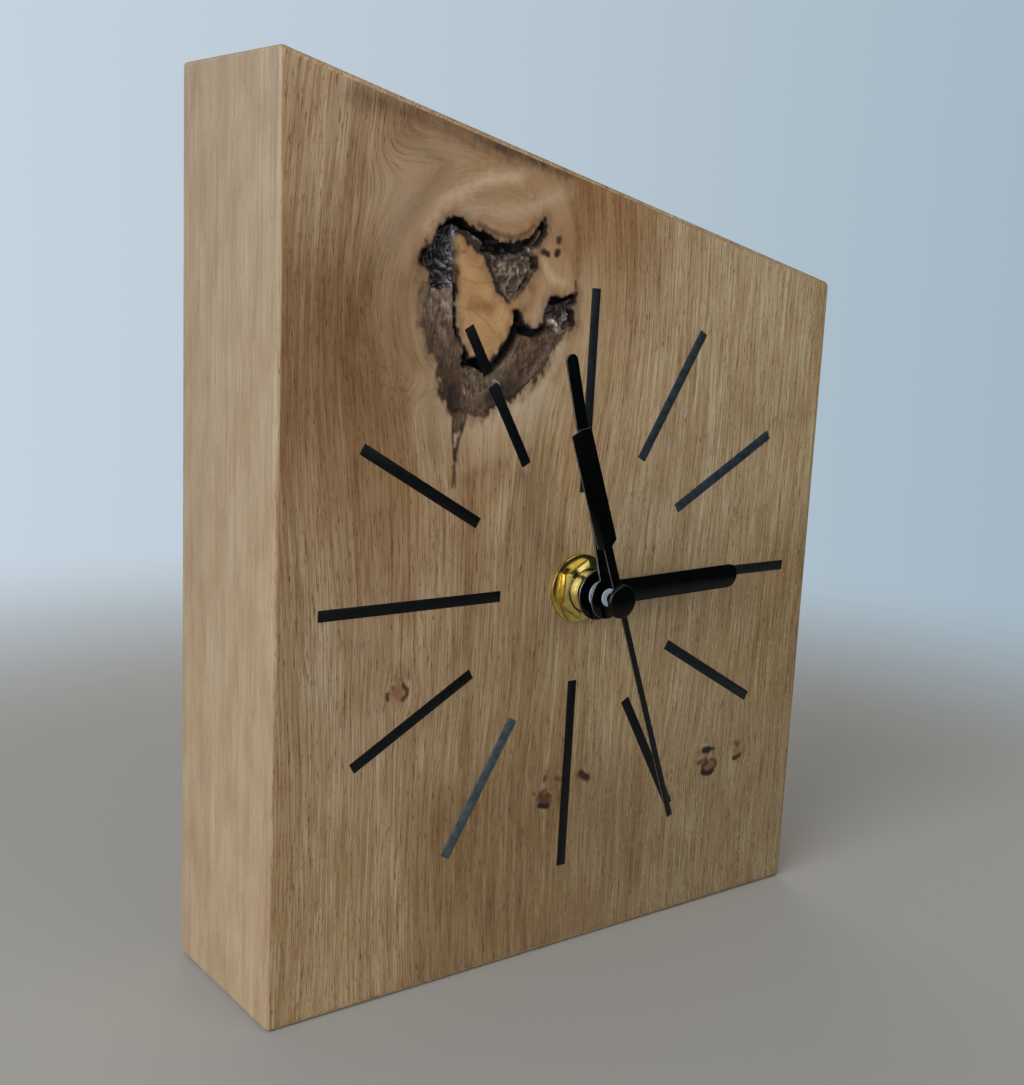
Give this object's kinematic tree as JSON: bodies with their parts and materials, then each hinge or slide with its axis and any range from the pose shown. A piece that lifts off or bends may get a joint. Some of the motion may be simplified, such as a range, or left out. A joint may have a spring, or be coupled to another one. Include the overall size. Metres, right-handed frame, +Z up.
{
  "type": "desk clock",
  "caption": "Solid oak block clock with a sloping top, an open bark-filled knot, inlaid hour marks, slim hands and a battery movement behind.",
  "frame": {"origin": "middle of the block's base, on the surface that it stands on", "axes": "+X to the right of the dial, +Y from the dial to the back, +Z up"},
  "size_m": [0.13, 0.0499, 0.1662],
  "materials": {
    "oak": "oiled, fine open grain",
    "bark": "rough ingrown bark, wet gloss in the cleft",
    "mark": "dark gloss",
    "brass": "turned and polished",
    "rubber": "matt",
    "black_plastic": "moulded, finely textured",
    "white_plastic": "moulded",
    "wheel_plastic": "moulded, smooth",
    "tube_plastic": "moulded, pale",
    "black_lacquer": "black lacquer with bright cut edges",
    "steel": "ground",
    "magnet": "sintered",
    "copper_wire": "enamelled wire",
    "green_plastic": "moulded or laminated",
    "tin": "plated",
    "resin": "poured",
    "cell_sleeve": "printed sleeve over a steel can, plain"
  },
  "bodies": {
    "block": {"oak_block": "oak", "knot_bark": "bark", "hour_mark_1": "mark", "hour_mark_2": "mark", "hour_mark_3": "mark", "hour_mark_4": "mark", "hour_mark_5": "mark", "hour_mark_6": "mark", "hour_mark_7": "mark", "hour_mark_8": "mark", "hour_mark_9": "mark", "hour_mark_10": "mark", "hour_mark_11": "mark", "hour_mark_12": "mark", "brass_washer": "brass", "hex_nut": "brass", "threaded_bush": "brass", "rubber_gasket": "rubber", "movement_case": "black_plastic", "rear_cover": "black_plastic", "train_plate": "white_plastic", "stator": "steel", "coil_core": "steel", "coil_bobbin": "green_plastic", "coil_winding": "copper_wire", "circuit_board": "green_plastic", "quartz_crystal": "tin", "chip_drop": "resin", "positive_contact": "tin", "negative_contact": "tin"},
    "minute": {"minute_hand": "black_lacquer", "minute_arbor": "tube_plastic"},
    "hour": {"hour_hand": "black_lacquer", "hour_wheel": "tube_plastic"},
    "setting": {"motion_wheel": "wheel_plastic", "setting_knob": "black_plastic"},
    "second": {"second_hand": "black_lacquer", "second_cap": "black_lacquer", "second_arbor": "steel", "second_wheel": "wheel_plastic"},
    "centre": {"centre_wheel": "wheel_plastic"},
    "third": {"third_wheel": "wheel_plastic"},
    "intermediate": {"intermediate_wheel": "wheel_plastic"},
    "rotor": {"rotor_magnet": "magnet", "rotor_pinion": "wheel_plastic"},
    "battery": {"battery_cell": "cell_sleeve"}
  },
  "joints": [
    {"name": "minute_turn", "type": "hinge", "parent": "block", "child": "minute", "pos_m": [0.0004, 0, 0.074], "axis": [0, 1, 0], "continuous": true},
    {"name": "hour_turn", "type": "hinge", "parent": "block", "child": "hour", "pos_m": [0.0004, 0, 0.074], "axis": [0, 1, 0], "continuous": true},
    {"name": "setting_turn", "type": "hinge", "parent": "block", "child": "setting", "pos_m": [0.0124, 0, 0.074], "axis": [0, 1, 0], "continuous": true},
    {"name": "second_turn", "type": "hinge", "parent": "block", "child": "second", "pos_m": [0.0004, 0, 0.074], "axis": [0, 1, 0], "continuous": true},
    {"name": "centre_turn", "type": "hinge", "parent": "block", "child": "centre", "pos_m": [0.0004, 0, 0.074], "axis": [0, 1, 0], "continuous": true},
    {"name": "third_turn", "type": "hinge", "parent": "block", "child": "third", "pos_m": [-0.0104, 0, 0.074], "axis": [0, 1, 0], "continuous": true},
    {"name": "intermediate_turn", "type": "hinge", "parent": "block", "child": "intermediate", "pos_m": [-0.00247, 0, 0.08189], "axis": [0, 1, 0], "continuous": true},
    {"name": "rotor_turn", "type": "hinge", "parent": "block", "child": "rotor", "pos_m": [-0.00742, 0, 0.08684], "axis": [0, 1, 0], "continuous": true},
    {"name": "battery_slide", "type": "slide", "parent": "block", "child": "battery", "axis": [0, 1, 0], "range_m": [0, 0.02]}
  ],
  "couplings": [
    {"joint": "hour_turn", "follows": "minute_turn", "ratio": 0.083333},
    {"joint": "setting_turn", "follows": "minute_turn", "ratio": -0.33333},
    {"joint": "third_turn", "follows": "second_turn", "ratio": -0.13333},
    {"joint": "centre_turn", "follows": "second_turn", "ratio": 0.016667},
    {"joint": "intermediate_turn", "follows": "second_turn", "ratio": -5},
    {"joint": "rotor_turn", "follows": "second_turn", "ratio": 30}
  ]
}
